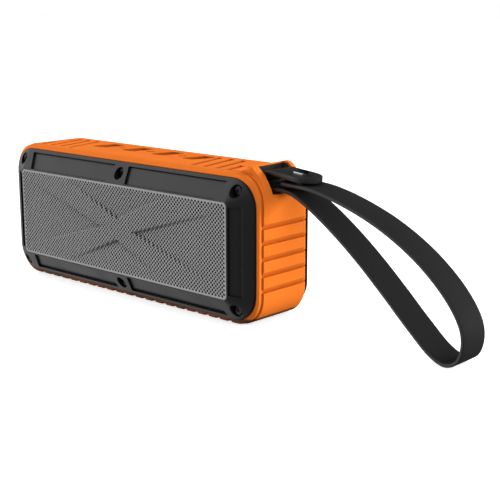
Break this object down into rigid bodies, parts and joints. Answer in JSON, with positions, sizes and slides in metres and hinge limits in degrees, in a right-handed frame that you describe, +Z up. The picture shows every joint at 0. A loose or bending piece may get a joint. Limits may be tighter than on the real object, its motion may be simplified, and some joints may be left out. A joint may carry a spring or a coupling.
{
  "type": "portable bluetooth speaker",
  "caption": "Rugged oblong wireless speaker: soft rubber sleeve, sloping plastic covers, perforated front grille, top keys, rear ports and a rubber wrist strap.",
  "frame": {"origin": "middle of the ribbed face the body stands on", "axes": "+Z up, +X along the body to the strap end, the grille faces -Y"},
  "size_m": [0.2572, 0.0466, 0.0681],
  "materials": {
    "sleeve_rubber": "orange silicone rubber, satin, fingerprints in the grooves",
    "black_plastic": "black moulded plastic, fine spark texture",
    "housing_plastic": "dark grey moulded plastic",
    "strap_rubber": "black rubber, fine grain, satin",
    "grille_metal": "perforated sheet with a grey powder coat",
    "cloth": "thin black acoustic cloth",
    "gasket_foam": "black closed-cell foam",
    "screw_steel": "black oxide steel",
    "bright_steel": "polished nickel plate",
    "rivet_black": "black domed cap pressed into the stud",
    "brass_insert": "knurled brass",
    "cone_paper": "treated black paper pulp",
    "magnet_ferrite": "sintered ferrite",
    "motor_steel": "zinc-plated steel",
    "coil_copper": "enamelled copper wire on a former",
    "board": "green solder mask",
    "chip": "black epoxy packages",
    "cell_wrap": "blue shrink wrap",
    "light_lens": "milky light guide",
    "socket_steel": "stamped steel shell"
  },
  "bodies": {
    "speaker": {"aux_socket": "chip", "battery_cell": "cell_wrap", "battery_tray": "housing_plastic", "bezel_gasket": "gasket_foam", "bezel_screws": "screw_steel", "board_chips": "chip", "board_screws": "screw_steel", "driver_screws": "screw_steel", "front_baffle": "housing_plastic", "front_bezel": "black_plastic", "front_grille": "grille_metal", "grille_cloth": "cloth", "key_board": "board", "key_switches": "chip", "left_basket": "housing_plastic", "left_magnet": "magnet_ferrite", "left_spider": "cloth", "left_surround": "strap_rubber", "left_top_plate": "motor_steel", "left_yoke": "motor_steel", "main_board": "board", "main_housing": "housing_plastic", "microphone": "socket_steel", "outer_sleeve": "sleeve_rubber", "radiator_frame": "housing_plastic", "radiator_surround": "strap_rubber", "rear_cover": "black_plastic", "rear_gasket": "gasket_foam", "rear_screws": "screw_steel", "right_basket": "housing_plastic", "right_magnet": "magnet_ferrite", "right_spider": "cloth", "right_surround": "strap_rubber", "right_top_plate": "motor_steel", "right_yoke": "motor_steel", "status_light": "light_lens", "strap_bar": "bright_steel", "threaded_inserts": "brass_insert", "usb_socket": "socket_steel", "wireless_module": "socket_steel"},
    "strap": {"strap_band": "strap_rubber", "strap_stud": "bright_steel", "stud_inlay": "rivet_black"},
    "port_cover": {"port_cover": "strap_rubber"},
    "minus_key": {"minus_key": "sleeve_rubber", "minus_plunger": "housing_plastic"},
    "play_key": {"play_key": "sleeve_rubber", "play_plunger": "housing_plastic"},
    "plus_key": {"plus_key": "sleeve_rubber", "plus_plunger": "housing_plastic"},
    "power_key": {"power_key": "strap_rubber", "power_plunger": "housing_plastic"},
    "left_cone": {"left_cone": "cone_paper", "left_dust_cap": "cone_paper", "left_voice_coil": "coil_copper"},
    "right_cone": {"right_cone": "cone_paper", "right_dust_cap": "cone_paper", "right_voice_coil": "coil_copper"},
    "radiator": {"radiator_plate": "motor_steel"}
  },
  "joints": [
    {"name": "strap_swing", "type": "hinge", "parent": "speaker", "child": "strap", "pos_m": [0.0764, 0.00225, 0.0614], "axis": [0, -1, 0], "range_deg": [0, 80]},
    {"name": "port_cover_hinge", "type": "hinge", "parent": "speaker", "child": "port_cover", "pos_m": [0.0315, 0.0221, 0.02], "axis": [0, 0, 1], "range_deg": [0, 110]},
    {"name": "minus_key_press", "type": "slide", "parent": "speaker", "child": "minus_key", "axis": [0, 0, -1], "range_m": [0, 0.0006], "stiffness_N_per_m": 600},
    {"name": "play_key_press", "type": "slide", "parent": "speaker", "child": "play_key", "axis": [0, 0, -1], "range_m": [0, 0.0006], "stiffness_N_per_m": 600},
    {"name": "plus_key_press", "type": "slide", "parent": "speaker", "child": "plus_key", "axis": [0, 0, -1], "range_m": [0, 0.0006], "stiffness_N_per_m": 600},
    {"name": "power_key_press", "type": "slide", "parent": "speaker", "child": "power_key", "axis": [0, -1, 0], "range_m": [0, 0.0006], "stiffness_N_per_m": 600},
    {"name": "left_cone_stroke", "type": "slide", "parent": "speaker", "child": "left_cone", "axis": [0, 1, 0], "range_m": [-0.001, 0.001], "stiffness_N_per_m": 1200},
    {"name": "right_cone_stroke", "type": "slide", "parent": "speaker", "child": "right_cone", "axis": [0, 1, 0], "range_m": [-0.001, 0.001], "stiffness_N_per_m": 1200},
    {"name": "radiator_stroke", "type": "slide", "parent": "speaker", "child": "radiator", "axis": [0, 1, 0], "range_m": [-0.0015, 0.0015], "stiffness_N_per_m": 800}
  ]
}
